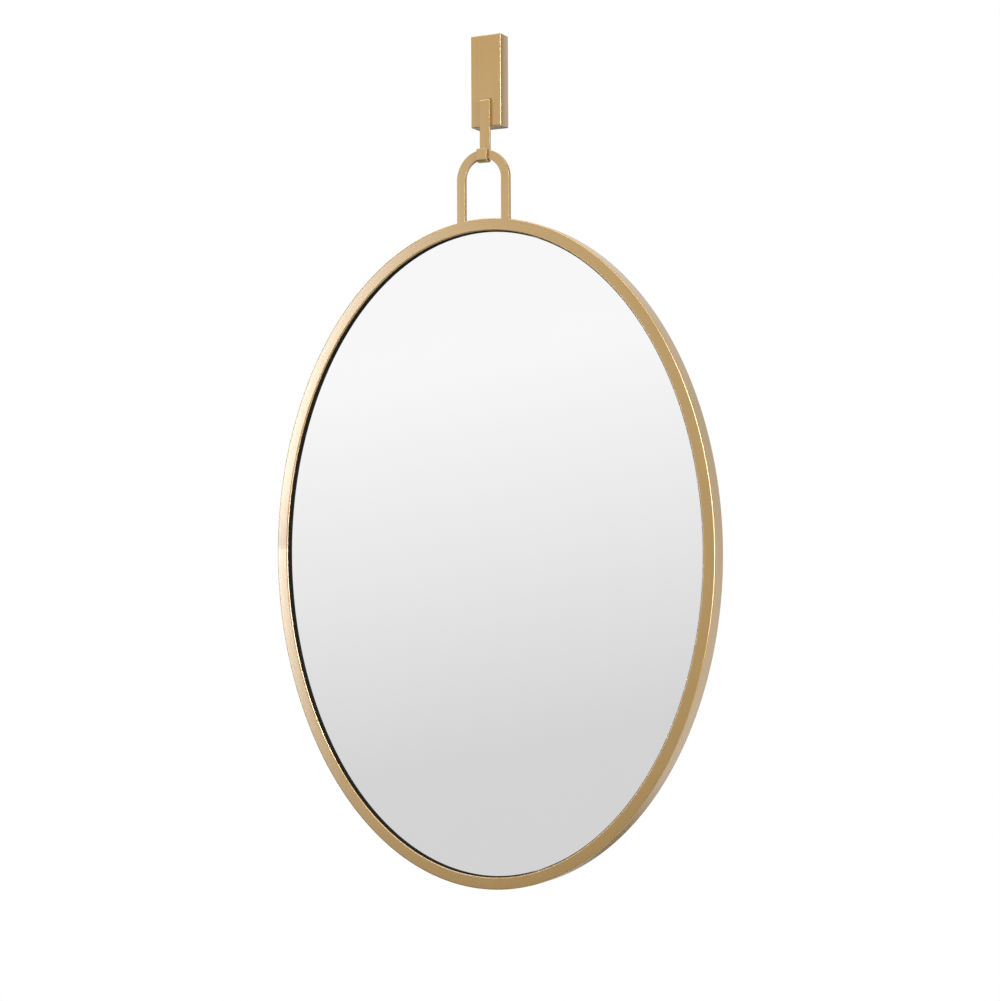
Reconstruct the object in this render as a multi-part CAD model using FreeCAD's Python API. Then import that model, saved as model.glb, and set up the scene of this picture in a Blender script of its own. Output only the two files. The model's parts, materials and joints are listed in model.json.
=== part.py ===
"""Oval wall mirror that hangs by a welded loop from a hooked strap on a small wall block.

Millimetres, +Z up. The wall is the plane Y = 0 and the room is at -Y.
The origin is on the wall, midway between the two wall-screw holes.
"""
import FreeCAD, Part
import math
import os

V = FreeCAD.Vector
X_AXIS = V(1, 0, 0)
Y_AXIS = V(0, 1, 0)
Z_AXIS = V(0, 0, 1)

# Oval frame, bent from rectangular tube
frame_width = 558.8
frame_height = 762.0
frame_depth = 25.4
face_width = 14.0
tube_wall = 1.5
frame_edge_radius = 1.5
drain_hole_diameter = 4.0

# Mirror pack, counted backwards from the front of the frame
glass_recess = 5.6
glass_thickness = 4.0
tape_thickness = 0.5
strip_thickness = 1.0
strip_width = 25.0
strip_count = 4
strip_pitch = 100.0
strip_end_margin = 40.0
board_thickness = 5.0

# Tabs that hold the board, and their screws
tab_count = 8
tab_width = 20.0
tab_reach = 14.0
tab_sheet = 1.5
tab_back_margin = 3.0
tab_screw_diameter = 3.0
tab_screw_length = 5.5
tab_head_diameter = 6.0
tab_head_height = 2.0
tab_head_round = 0.9
driver_slot_length = 4.0
driver_slot_width = 0.8
driver_slot_depth = 0.9

# Rubber bumpers that keep the frame off the wall
bumper_count = 4
bumper_diameter = 10.0
bumper_tip_diameter = 8.0
bumper_height = 2.0

# Hanging loop, an arch of flat bar welded to the top of the frame
loop_width = 66.8
loop_height = 78.3
loop_bar_width = 10.4
loop_bar_depth = 4.8
loop_edge_radius = 0.9

# Strap that hooks over the lip of the block's slot and carries the loop
strap_width = 12.7
strap_thickness = 3.0
strap_drop = 66.3
strap_edge_radius = 0.35
hook_tab_height = 12.4
hook_bend_radius = 0.8
tail_length = 9.0
tilt_range = 20.0

# Wall block, a five-sided shell
block_width = 38.0
block_height = 105.0
block_wall = 2.0
block_edge_radius = 1.2
slot_lip_height = 27.5
slot_headroom = 0.9

# Folded plate inside the block, and the screws that hold the block on it
plate_thickness = 2.0
ear_reach = 14.0
fold_radius = 1.0
wall_hole_diameter = 5.0
wall_hole_spacing = 64.0
block_screw_diameter = 3.0
block_screw_head = 5.6
block_screw_length = 8.0
block_screw_spacing = 18.0
hex_socket_flats = 2.0
hex_socket_depth = 1.0

# Clearances, and how far a cut runs past the face that it opens
running_clearance = 0.3
slot_side_clearance = 0.4
plate_clearance = 0.3
screw_clearance = 0.1
glass_edge_clearance = 0.3
weld_gap = 0.05
overcut = 2.0

# Depths, from the wall towards the room
block_depth = frame_depth + bumper_height - loop_bar_depth - strap_thickness - 2 * running_clearance
block_front = -block_depth
strap_back = block_front - running_clearance
strap_front = strap_back - strap_thickness
loop_back = strap_front - running_clearance
frame_front = loop_back - loop_bar_depth
frame_back = frame_front + frame_depth
hook_back = frame_front - running_clearance

# Depths of the mirror pack, from the front of the frame to the wall
glass_front = frame_front + glass_recess
glass_back = glass_front + glass_thickness
board_front = glass_back + strip_thickness
board_back = board_front + board_thickness

# Insets of the mirror pack from the frame's outline
tape_outer = face_width + weld_gap
tape_inner = tape_outer + tape_thickness
pane_inset = tape_inner + glass_edge_clearance
tab_screw_inset = tape_outer + tab_reach / 2

# Heights, from the block down to the frame
block_top = block_height / 2
block_bottom = -block_height / 2
lip_top = block_bottom + slot_lip_height
lip_radius = block_wall / 2
lip_axis = V(0, block_front + lip_radius, lip_top - lip_radius)
slot_top = lip_top + running_clearance + strap_thickness + slot_headroom
hook_seat = lip_top - strap_drop
arch_outer_radius = loop_width / 2
arch_inner_radius = arch_outer_radius - loop_bar_width
arch_over_strap_edge = math.sqrt(arch_inner_radius ** 2 - (strap_width / 2) ** 2)
arch_height = hook_seat + running_clearance - arch_over_strap_edge
frame_top = arch_height + arch_outer_radius - loop_height
frame_centre = frame_top - frame_height / 2


def box(low, high):
    """Box between two opposite corners."""
    size = high - low
    return Part.makeBox(size.x, size.y, size.z, low)


def rod(diameter, start, end):
    """Round rod between two points."""
    return Part.makeCylinder(diameter / 2, (end - start).Length, start, end - start)


def one_solid(shape):
    """The single clean solid of a fused or cut shape."""
    return shape.removeSplitter().Solids[0]


def spread(count):
    """Evenly spaced turns in degrees, placed evenly on both sides of the upright."""
    return [(step + 0.5) * 360.0 / count for step in range(count)]


def oval_half_axes(inset):
    """Half width and half height of the frame's outline, moved inwards by inset."""
    return frame_width / 2 - inset, frame_height / 2 - inset


def oval_slab(inset, front, back):
    """Solid oval plate between two depths."""
    half_width, half_height = oval_half_axes(inset)
    centre = V(0, front, frame_centre)
    outline = Part.Ellipse(centre + Z_AXIS * half_height, centre + X_AXIS * half_width, centre)
    face = Part.Face(Part.Wire(outline.toShape()))
    return face.extrude(Y_AXIS * (back - front))


def oval_band(outer_inset, inner_inset, front, back):
    """Oval ring between two insets of the outline and two depths."""
    return oval_slab(outer_inset, front, back).cut(oval_slab(inner_inset, front, back))


def oval_point(inset, turn, depth):
    """Point at a depth on the inset oval; turn is in degrees from +X towards +Z."""
    half_width, half_height = oval_half_axes(inset)
    angle = math.radians(turn)
    return V(half_width * math.cos(angle), depth, frame_centre + half_height * math.sin(angle))


def oval_outward(inset, turn):
    """Outward normal of the inset oval at a turn."""
    half_width, half_height = oval_half_axes(inset)
    angle = math.radians(turn)
    return V(math.cos(angle) / half_width, 0, math.sin(angle) / half_height).normalize()


def bent_bar(corners, inner_radii, thickness, width):
    """Flat bar of a width along X, bent in the YZ plane at the corners of its centre line."""
    half = thickness / 2
    runs = [(after - before).normalize() for before, after in zip(corners, corners[1:])]
    first_left = X_AXIS.cross(runs[0])
    edges = [Part.LineSegment(corners[0] - first_left * half, corners[0] + first_left * half).toShape()]
    for side in (1, -1):
        point = corners[0] + first_left * (side * half)
        for corner, arriving, leaving, inner in zip(corners[1:-1], runs, runs[1:], inner_radii):
            turns_left = 1 if arriving.cross(leaving).x > 0 else -1
            radius = inner + half
            tangent = radius * math.tan(arriving.getAngle(leaving) / 2)
            centre = corner - arriving * tangent + X_AXIS.cross(arriving) * (turns_left * radius)
            arc_radius = radius - side * turns_left * half
            bend_start = centre - X_AXIS.cross(arriving) * (turns_left * arc_radius)
            bend_middle = centre + (corner - centre).normalize() * arc_radius
            bend_end = centre - X_AXIS.cross(leaving) * (turns_left * arc_radius)
            edges.append(Part.LineSegment(point, bend_start).toShape())
            edges.append(Part.Arc(bend_start, bend_middle, bend_end).toShape())
            point = bend_end
        edges.append(Part.LineSegment(point, corners[-1] + X_AXIS.cross(runs[-1]) * (side * half)).toShape())
    last_left = X_AXIS.cross(runs[-1])
    edges.append(Part.LineSegment(corners[-1] - last_left * half, corners[-1] + last_left * half).toShape())
    face = Part.Face(Part.Wire(Part.__sortEdges__(edges)))
    face.translate(X_AXIS * (-width / 2))
    return face.extrude(X_AXIS * width)


def make_frame_ring():
    """Oval ring of rectangular tube with rounded edges and a drain hole low on its back."""
    ring = oval_band(0, face_width, frame_front, frame_back)
    rims = [edge for edge in ring.Edges if isinstance(edge.Curve, Part.Ellipse)]
    ring = ring.makeFillet(frame_edge_radius, rims)
    hollow_front = frame_front + tube_wall
    hollow_back = frame_back - tube_wall
    hollow = oval_band(tube_wall, face_width - tube_wall, hollow_front, hollow_back)
    drain = rod(
        drain_hole_diameter,
        oval_point(face_width / 2, -90, hollow_back - overcut),
        oval_point(face_width / 2, -90, frame_back + overcut),
    )
    return one_solid(ring.cut(hollow).cut(drain))


def make_hanging_loop():
    """Arch of flat bar, its front flush with the frame and its feet cut to the frame's curve."""
    foot = frame_top - loop_bar_width
    outline = []
    for radius in (arch_outer_radius, arch_inner_radius):
        left = V(-radius, frame_front, arch_height)
        right = V(radius, frame_front, arch_height)
        outline.append(Part.Arc(left, V(0, frame_front, arch_height + radius), right).toShape())
        for shoulder in (left, right):
            outline.append(Part.LineSegment(shoulder, V(shoulder.x, frame_front, foot)).toShape())
    for side in (-1, 1):
        outer_foot = V(side * arch_outer_radius, frame_front, foot)
        inner_foot = V(side * arch_inner_radius, frame_front, foot)
        outline.append(Part.LineSegment(outer_foot, inner_foot).toShape())
    bar = Part.Face(Part.Wire(Part.__sortEdges__(outline))).extrude(Y_AXIS * loop_bar_depth)
    long_edges = [
        edge for edge in bar.Edges
        if edge.BoundBox.YLength < loop_edge_radius and edge.BoundBox.ZMax > foot + loop_edge_radius
    ]
    bar = bar.makeFillet(loop_edge_radius, long_edges)
    return one_solid(bar.cut(oval_slab(-weld_gap, frame_front - overcut, loop_back + overcut)))


def make_edge_tape():
    """Black tape round the glass, on the tube's inner wall behind its rounded front edge."""
    return one_solid(oval_band(tape_outer, tape_inner, frame_front + frame_edge_radius, board_back))


def make_backing_board():
    """Oval board with a pilot hole for each tab's screw."""
    board = oval_slab(pane_inset, board_front, board_back)
    pilot_end = board_back + tab_sheet - tab_screw_length - screw_clearance
    for turn in spread(tab_count):
        board = board.cut(rod(
            tab_screw_diameter + 2 * screw_clearance,
            oval_point(tab_screw_inset, turn, board_back + overcut),
            oval_point(tab_screw_inset, turn, pilot_end),
        ))
    return one_solid(board)


def make_bonding_strip(index):
    """Upright strip of double-sided foam tape between the glass and the board."""
    half_width, half_height = oval_half_axes(pane_inset)
    middle = (index - (strip_count - 1) / 2) * strip_pitch
    left = middle - strip_width / 2
    right = middle + strip_width / 2
    room = half_height * math.sqrt(1 - (max(abs(left), abs(right)) / half_width) ** 2)
    half_length = room - strip_end_margin
    return box(
        V(left, glass_back, frame_centre - half_length), V(right, board_front, frame_centre + half_length)
    )


def make_board_tab(turn):
    """Angle tab: its leg is welded to the tube's inner wall and its foot lies on the board."""
    foot_back = board_back + tab_sheet
    leg_back = frame_back - tab_back_margin
    foot = oval_band(tape_outer, tape_outer + tab_reach, board_back, foot_back)
    leg = oval_band(tape_outer, tape_outer + tab_sheet, board_back, leg_back)
    outward = oval_outward(face_width, turn)
    along = outward.cross(Y_AXIS)
    blank = Part.makeBox(tab_width, tab_reach + 2 * overcut, leg_back - board_back)
    corner = oval_point(face_width, turn, board_back) - along * (tab_width / 2)
    corner = corner - outward * (tab_reach + overcut)
    blank.Placement = FreeCAD.Placement(corner, FreeCAD.Rotation(along, outward, Y_AXIS, "XYZ"))
    hole = rod(
        tab_screw_diameter + 2 * screw_clearance,
        oval_point(tab_screw_inset, turn, board_back - overcut),
        oval_point(tab_screw_inset, turn, foot_back + overcut),
    )
    return one_solid(foot.fuse(leg).common(blank).cut(hole))


def make_tab_screw(turn):
    """Pan-head screw with a cross recess, through a tab into the board."""
    under_head = oval_point(tab_screw_inset, turn, board_back + tab_sheet)
    head_top = under_head + Y_AXIS * tab_head_height
    head = rod(tab_head_diameter, under_head, head_top)
    rim = [edge for edge in head.Edges if edge.BoundBox.YMin > head_top.y - tab_head_round]
    head = head.makeFillet(tab_head_round, rim)
    screw = head.fuse(rod(tab_screw_diameter, under_head, under_head - Y_AXIS * tab_screw_length))
    half_long = driver_slot_length / 2
    half_wide = driver_slot_width / 2
    for across, up in ((half_long, half_wide), (half_wide, half_long)):
        low = head_top - V(across, driver_slot_depth, up)
        screw = screw.cut(box(low, head_top + V(across, overcut, up)))
    return one_solid(screw)


def make_wall_bumper(turn):
    """Tapered rubber button on the back of the frame, as tall as the gap to the wall."""
    seat = oval_point(face_width / 2, turn, frame_back)
    return Part.makeCone(bumper_diameter / 2, bumper_tip_diameter / 2, bumper_height, seat, Y_AXIS)


def make_hook_strap():
    """Flat strap: tail over the slot's lip, leg down the block, hook under the loop's arch.

    The tail leans back by the tilt range, so it comes flat against the block's inner face
    when the mirror is tilted as far as it goes.
    """
    half = strap_thickness / 2
    lip_bend = lip_radius + running_clearance
    tilt = math.radians(tilt_range)
    leg_outward = -Y_AXIS
    tail_outward = V(0, math.cos(tilt), math.sin(tilt))
    tail_down = V(0, math.sin(tilt), -math.cos(tilt))
    to_middle = lip_bend + half
    over_lip = (leg_outward + tail_outward) * (to_middle / (1 + leg_outward.dot(tail_outward)))
    corners = [
        lip_axis + tail_outward * to_middle + tail_down * tail_length,
        lip_axis + over_lip,
        V(0, strap_back - half, hook_seat - half),
        V(0, hook_back - half, hook_seat - half),
        V(0, hook_back - half, hook_seat + hook_tab_height),
    ]
    bends = [lip_bend, hook_bend_radius, hook_bend_radius]
    strap = bent_bar(corners, bends, strap_thickness, strap_width)
    flanks = [edge for edge in strap.Edges if edge.BoundBox.XLength < strap_edge_radius]
    return one_solid(strap.makeFillet(strap_edge_radius, flanks))


def block_screw_places():
    """Points on the block's top where its two screws go in."""
    return [V(side * block_screw_spacing / 2, block_front / 2, block_top) for side in (-1, 1)]


def countersunk_blank(clearance):
    """Countersunk screw, head up, with its top at the origin; a clearance makes it the hole's cutter."""
    head_radius = block_screw_head / 2 + clearance
    shank_radius = block_screw_diameter / 2 + clearance
    head_height = head_radius - shank_radius
    cone = Part.makeCone(shank_radius, head_radius, head_height, -Z_AXIS * head_height)
    return cone.fuse(rod(2 * shank_radius, V(), -Z_AXIS * block_screw_length))


def make_block_screws():
    """The two countersunk screws with hexagon sockets that hold the block on its plate."""
    corner_radius = hex_socket_flats / math.sqrt(3)
    angles = [math.radians(turn) for turn in spread(6)]
    points = [V(corner_radius * math.cos(angle), corner_radius * math.sin(angle), 0) for angle in angles]
    hexagon = Part.Face(Part.makePolygon(points + points[:1]))
    screw = one_solid(countersunk_blank(0).cut(hexagon.extrude(-Z_AXIS * hex_socket_depth)))
    return Part.makeCompound([screw.translated(place) for place in block_screw_places()])


def drilled_for_block_screws(shape):
    """The shape with the clearance holes of the block's screws taken out."""
    for place in block_screw_places():
        shape = shape.cut(countersunk_blank(screw_clearance).translated(place))
    return shape


def make_wall_block():
    """Five-sided shell with rounded edges and a slot whose lower lip is fully rounded."""
    half = block_width / 2
    shell = box(V(-half, block_front, block_bottom), V(half, 0, block_top))
    outer_edges = [edge for edge in shell.Edges if edge.BoundBox.YMin < -block_edge_radius]
    shell = shell.makeFillet(block_edge_radius, outer_edges)
    inside_low = V(-half + block_wall, block_front + block_wall, block_bottom + block_wall)
    inside_high = V(half - block_wall, overcut, block_top - block_wall)
    shell = shell.cut(box(inside_low, inside_high))
    slot_half = strap_width / 2 + slot_side_clearance
    slot_low = V(-slot_half, block_front - overcut, lip_axis.z)
    slot_high = V(slot_half, block_front + block_wall + overcut, slot_top)
    shell = shell.cut(box(slot_low, slot_high))
    lip = rod(block_wall, lip_axis - X_AXIS * slot_half, lip_axis + X_AXIS * slot_half)
    return one_solid(drilled_for_block_screws(shell.fuse(lip)))


def make_wall_plate():
    """Folded steel plate: two wall-screw holes, and an ear under the top of the block."""
    half = plate_thickness / 2
    top = block_top - block_wall
    corners = [
        V(0, -half, block_bottom + block_wall + plate_clearance),
        V(0, -half, top - half),
        V(0, -ear_reach, top - half),
    ]
    width = block_width - 2 * (block_wall + plate_clearance)
    plate = bent_bar(corners, [fold_radius], plate_thickness, width)
    for side in (-1, 1):
        hole_height = side * wall_hole_spacing / 2
        plate = plate.cut(rod(
            wall_hole_diameter, V(0, -plate_thickness - overcut, hole_height), V(0, overcut, hole_height)
        ))
    return one_solid(drilled_for_block_screws(plate))


nodes = {
    "wall_plate": make_wall_plate(),
    "wall_block": make_wall_block(),
    "block_screws": make_block_screws(),
    "hook_strap": make_hook_strap(),
    "frame_ring": make_frame_ring(),
    "hanging_loop": make_hanging_loop(),
    "edge_tape": make_edge_tape(),
    "mirror_glass": oval_slab(pane_inset, glass_front, glass_back),
    "backing_board": make_backing_board(),
    "tab_screws": Part.makeCompound([make_tab_screw(turn) for turn in spread(tab_count)]),
}
for index in range(strip_count):
    nodes[f"bonding_strip_{index + 1}"] = make_bonding_strip(index)
for number, turn in enumerate(spread(tab_count), 1):
    nodes[f"board_tab_{number}"] = make_board_tab(turn)
for number, turn in enumerate(spread(bumper_count), 1):
    nodes[f"wall_bumper_{number}"] = make_wall_bumper(turn)

os.makedirs("parts", exist_ok=True)
for name, shape in nodes.items():
    shape.exportStep(f"parts/{name}.step")

print("tilt axis", [round(value, 3) for value in lip_axis])
print("swing axis height", round(arch_height, 3), "frame front", round(frame_front, 3))
print("frame centre", round(frame_centre, 3), "block depth", round(block_depth, 3))
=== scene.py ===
# %% [markdown]
# Oval wall mirror on a hooked wall block.
# The CAD model gives the places and the motion. This lesson gives each piece its looks, piece by piece:
# first the tools for wiring nodes, then the finishes, then the pieces, then the studio around them.

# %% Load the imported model
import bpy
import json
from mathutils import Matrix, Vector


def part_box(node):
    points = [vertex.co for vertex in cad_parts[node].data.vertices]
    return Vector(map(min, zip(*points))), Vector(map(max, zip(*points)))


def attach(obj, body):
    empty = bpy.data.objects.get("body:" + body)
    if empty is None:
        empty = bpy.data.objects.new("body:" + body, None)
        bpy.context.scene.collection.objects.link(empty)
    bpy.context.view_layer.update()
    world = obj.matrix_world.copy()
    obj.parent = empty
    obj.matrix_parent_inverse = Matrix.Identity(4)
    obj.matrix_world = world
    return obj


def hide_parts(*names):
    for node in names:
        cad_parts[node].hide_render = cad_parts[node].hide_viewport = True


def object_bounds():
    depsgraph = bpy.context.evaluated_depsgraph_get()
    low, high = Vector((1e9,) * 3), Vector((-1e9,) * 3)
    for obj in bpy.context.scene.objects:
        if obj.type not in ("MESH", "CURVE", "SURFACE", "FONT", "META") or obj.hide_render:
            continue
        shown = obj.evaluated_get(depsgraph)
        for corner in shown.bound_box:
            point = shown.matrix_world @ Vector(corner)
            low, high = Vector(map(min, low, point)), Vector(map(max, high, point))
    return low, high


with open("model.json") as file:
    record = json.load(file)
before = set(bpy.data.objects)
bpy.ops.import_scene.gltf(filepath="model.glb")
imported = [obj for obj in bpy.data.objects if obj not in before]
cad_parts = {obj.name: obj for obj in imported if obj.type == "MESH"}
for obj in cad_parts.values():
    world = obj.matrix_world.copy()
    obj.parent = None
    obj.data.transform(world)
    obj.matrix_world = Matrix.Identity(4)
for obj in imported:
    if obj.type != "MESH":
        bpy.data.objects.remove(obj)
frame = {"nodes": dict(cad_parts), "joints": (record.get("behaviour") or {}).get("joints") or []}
cad_low, cad_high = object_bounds()
print("CAD box", [round(side, 4) for side in cad_high - cad_low])

# %% Modules
import json
import math

import bmesh
import bpy
from mathutils import Matrix, Quaternion, Vector

print("Blender", bpy.app.version_string)

# %% [markdown]
# Sizes. The mirror is sold by the inch: 22 wide, 30 high and 1 deep. The narrow face of its tube is 14 mm.
# Every place comes from the loaded nodes, so that a piece stands exactly where its CAD node stands.

# %% Sizes that several pieces share, in metres
INCH = 0.0254
MM = 0.001
HALF_WIDTH = 22 * INCH / 2
HALF_HEIGHT = 30 * INCH / 2
FACE = 14.0 * MM
RING_EDGE = 1.5 * MM
WELD_GAP = 0.05 * MM
ring_low, ring_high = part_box("frame_ring")
FRONT = ring_low.y
BACK = ring_high.y
CENTRE_HEIGHT = (ring_low.z + ring_high.z) / 2
print("ring centre height", round(CENTRE_HEIGHT, 4), "front", round(FRONT, 4), "back", round(BACK, 4))


# %% [markdown]
# Wiring nodes from Python. A node tree can be drawn by hand in the editor, but a script that is read later
# is clearer when it says `1 - mask` instead of naming a Math node and two links. `Wire` wraps one socket
# and turns arithmetic into Math nodes. `Bench` wraps a tree, and its method `node` adds any other node: the
# type, then the settings, then what goes into the sockets.

# %% A wire and a bench
class Wire:
    """One socket of a node tree; arithmetic on it adds Math nodes."""

    def __init__(self, bench, socket):
        self.bench = bench
        self.socket = socket

    def maths(self, operation, first, second):
        return self.bench.node("ShaderNodeMath", {"operation": operation}, {0: first, 1: second})

    def __add__(self, other):
        return self.maths("ADD", self, other)

    def __radd__(self, other):
        return self.maths("ADD", other, self)

    def __sub__(self, other):
        return self.maths("SUBTRACT", self, other)

    def __rsub__(self, other):
        return self.maths("SUBTRACT", other, self)

    def __mul__(self, other):
        return self.maths("MULTIPLY", self, other)

    def __rmul__(self, other):
        return self.maths("MULTIPLY", other, self)


class Bench:
    """A node tree that is being wired."""

    def __init__(self, tree):
        self.tree = tree
        tree.nodes.clear()

    def pick(self, sockets, name):
        """A socket by number, or the first one in use that has the name."""
        if isinstance(name, int):
            return sockets[name]
        return next(socket for socket in sockets if socket.name == name and socket.enabled)

    def node(self, kind, settings=None, sockets=None, output=0):
        """Add a node, set it up, fill its sockets with values or wires, and hand back one output."""
        made = self.tree.nodes.new(kind)
        for name, value in (settings or {}).items():
            if name == "stops":
                ends = made.color_ramp.elements
                middle = [ends.new(place) for place, shade in value[1:-1]]
                for stop, (place, shade) in zip([ends[0], *middle, ends[len(ends) - 1]], value):
                    stop.position = place
                    stop.color = shade
            else:
                setattr(made, name, value)
        for name, value in (sockets or {}).items():
            socket = self.pick(made.inputs, name)
            for one in value if isinstance(value, list) else [value]:
                if isinstance(one, Wire):
                    self.tree.links.new(one.socket, socket)
                else:
                    socket.default_value = one
        return Wire(self, self.pick(made.outputs, output)) if made.outputs else None


print("node tools ready")


# %% [markdown]
# Finishes. A Principled shader holds every finish here. What varies over a surface comes from noise on the
# piece's own coordinates, and the helpers below are the few patterns that the finishes share.

# %% Helpers for finishes
def grey(level):
    """A ramp stop's colour of one grey level."""
    return (level, level, level, 1)


def colour(red, green, blue):
    """A linear colour as a socket takes it."""
    return (red, green, blue, 1)


def start_finish(name):
    """A new material, the bench of its empty tree, and a wire with the piece's own coordinates."""
    material = bpy.data.materials.new(name)
    material.use_nodes = True
    bench = Bench(material.node_tree)
    return material, bench, bench.node("ShaderNodeTexCoord", {}, {}, "Object")


def stretched(bench, vector, scales):
    """A vector with each of its axes scaled by its own number."""
    return bench.node("ShaderNodeVectorMath", {"operation": "MULTIPLY"}, {0: vector, 1: scales})


def noise(bench, vector, scale, detail=2.0, roughness=0.5):
    """Soft noise from 0 to 1."""
    return bench.node(
        "ShaderNodeTexNoise", {},
        {"Vector": vector, "Scale": scale, "Detail": detail, "Roughness": roughness}, "Fac",
    )


def between(bench, mask, first, second):
    """A colour that goes from the first to the second as the mask goes from 0 to 1."""
    return bench.node(
        "ShaderNodeMix", {"data_type": "RGBA"}, {"Factor": mask, "A": first, "B": second}, "Result",
    )


def bumped(bench, height, strength, distance):
    """A normal that follows a height pattern."""
    return bench.node(
        "ShaderNodeBump", {}, {"Height": height, "Strength": strength, "Distance": distance}, "Normal",
    )


def close_finish(material, bench, sockets):
    """Wire the Principled shader to the output and report the finish."""
    surface = bench.node("ShaderNodeBsdfPrincipled", {}, sockets)
    bench.node("ShaderNodeOutputMaterial", {}, {"Surface": surface})
    print("finish", material.name, len(bench.tree.nodes), "nodes")
    return material


print("finish helpers ready")

# %% [markdown]
# Satin gold. The real finish is a thin gold layer on brushed steel under a clear lacquer: the brush marks
# run along each bar, a few tenths of a millimetre wide, and the lacquer adds a soft white sheen. A plain
# metal with one roughness looks like plastic foil, so the marks drive colour, roughness and a fine bump
# together. The marks follow the bar because they are read from an attribute called grain, which each bar
# carries: its first number runs across the bar, the other two follow the bar's centre line. A second
# attribute paints a step of shade and light into the gold at the ring's seam, darker gold on one side and
# lighter on the other, and the lacquer thins where it is darker. Pieces without it read zero.

# %% Satin gold
DARK_GOLD = colour(0.250, 0.147, 0.027)
LIGHT_GOLD = colour(0.396, 0.236, 0.055)
BRUSH_MARKS = (2600, 42, 42)
HAIRLINES = (7500, 150, 150)
STREAKS = (520, 5, 5)
CLOUDS = 14.0
LACQUER = 0.92
LACQUER_CHANGE = 0.27


def make_satin_gold():
    material, bench, place = start_finish("satin_gold")
    grain = bench.node("ShaderNodeAttribute", {"attribute_name": "grain"}, {}, "Vector")
    brush = noise(bench, stretched(bench, grain, BRUSH_MARKS), scale=1.0, detail=3.0, roughness=0.6)
    hairline = noise(bench, stretched(bench, grain, HAIRLINES), scale=1.0, detail=2.0)
    cloud = noise(bench, place, scale=CLOUDS, detail=2.0)
    streak = noise(bench, stretched(bench, grain, STREAKS), scale=1.0, detail=2.0)
    # Painted shade and light at the ring's seam: darker gold above it, lighter below; the lacquer's weight
    # follows it.
    dressing = bench.node("ShaderNodeAttribute", {"attribute_name": "dressing"}, {}, "Fac")
    tone = brush * 0.25 + hairline * 0.15 + streak * 0.35 + cloud * 0.25 + dressing
    return close_finish(material, bench, {
        "Base Color": between(bench, tone, DARK_GOLD, LIGHT_GOLD),
        "Metallic": 1.0,
        "Roughness": 0.50 + brush * 0.10 + cloud * 0.05,
        "Normal": bumped(bench, brush * 0.7 + hairline * 0.3, strength=0.35, distance=0.06 * MM),
        "Coat Weight": LACQUER + dressing * LACQUER_CHANGE,
        "Coat Roughness": 0.23,
        "Coat IOR": 1.95,
    })


satin_gold = make_satin_gold()


# %% [markdown]
# Mirror silver. The pane is float glass silvered on its back. The eye sees only the reflection, so a
# polished metal stands for glass and silver together. Real polish is never quite even, so a trace of noise
# changes the roughness. The pane's arris is ground, so it is matt and grey, and its back is painted.

# %% Mirror silver, the ground edge and the paint behind
def make_mirror_silver():
    material, bench, place = start_finish("mirror_silver")
    haze = noise(bench, place, scale=9.0, detail=3.0)
    silver = between(bench, haze, colour(0.985, 0.985, 0.985), colour(0.995, 0.995, 0.995))
    return close_finish(material, bench, {
        "Base Color": silver,
        "Metallic": 1.0,
        "Roughness": 0.008 + haze * 0.008,
    })


def make_ground_edge():
    material, bench, place = start_finish("ground_edge")
    grit = noise(bench, place, scale=700.0, detail=3.0)
    return close_finish(material, bench, {
        "Base Color": between(bench, grit, colour(0.42, 0.44, 0.44), colour(0.56, 0.58, 0.58)),
        "Metallic": 1.0,
        "Roughness": 0.45 + grit * 0.15,
    })


def make_backing_paint():
    material, bench, place = start_finish("mirror_backing_paint")
    mottle = noise(bench, place, scale=120.0, detail=4.0)
    return close_finish(material, bench, {
        "Base Color": between(bench, mottle, colour(0.20, 0.21, 0.22), colour(0.28, 0.29, 0.30)),
        "Roughness": 0.45 + mottle * 0.2,
        "Normal": bumped(bench, mottle, strength=0.2, distance=0.1 * MM),
    })


mirror_silver = make_mirror_silver()
ground_edge = make_ground_edge()
backing_paint = make_backing_paint()


# %% [markdown]
# The dull finishes: black tape, rubber, foam, pressed board and zinc. Each is a noise or cell pattern at
# the scale of the real thing: the tape's crepe, the rubber's dust, the foam's cells, the board's fibres and
# the zinc's frost-like crystals.

# %% Black tape, rubber and foam
def make_black_tape():
    material, bench, place = start_finish("black_tape")
    crepe = noise(bench, stretched(bench, place, (900, 2600, 900)), scale=1.0, detail=3.0)
    return close_finish(material, bench, {
        "Base Color": between(bench, crepe, colour(0.003, 0.0025, 0.002), colour(0.009, 0.008, 0.006)),
        "Roughness": 0.6 + crepe * 0.2,
        "Specular IOR Level": 0.03,
        "Normal": bumped(bench, crepe, strength=0.4, distance=0.1 * MM),
    })


def make_bumper_rubber():
    material, bench, place = start_finish("bumper_rubber")
    dust = noise(bench, place, scale=900.0, detail=4.0)
    return close_finish(material, bench, {
        "Base Color": between(bench, dust, colour(0.030, 0.030, 0.031), colour(0.075, 0.074, 0.072)),
        "Roughness": 0.6 + dust * 0.25,
        "Normal": bumped(bench, dust, strength=0.3, distance=0.1 * MM),
    })


def make_foam():
    material, bench, place = start_finish("foam_tape")
    cells = bench.node("ShaderNodeTexVoronoi", {}, {"Vector": place, "Scale": 1800.0}, "Distance")
    return close_finish(material, bench, {
        "Base Color": between(bench, cells, colour(0.60, 0.60, 0.57), colour(0.80, 0.80, 0.77)),
        "Roughness": 0.85 + cells * 0.1,
        "Normal": bumped(bench, cells, strength=0.5, distance=0.2 * MM),
    })


black_tape = make_black_tape()
bumper_rubber = make_bumper_rubber()
foam_tape = make_foam()


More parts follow.
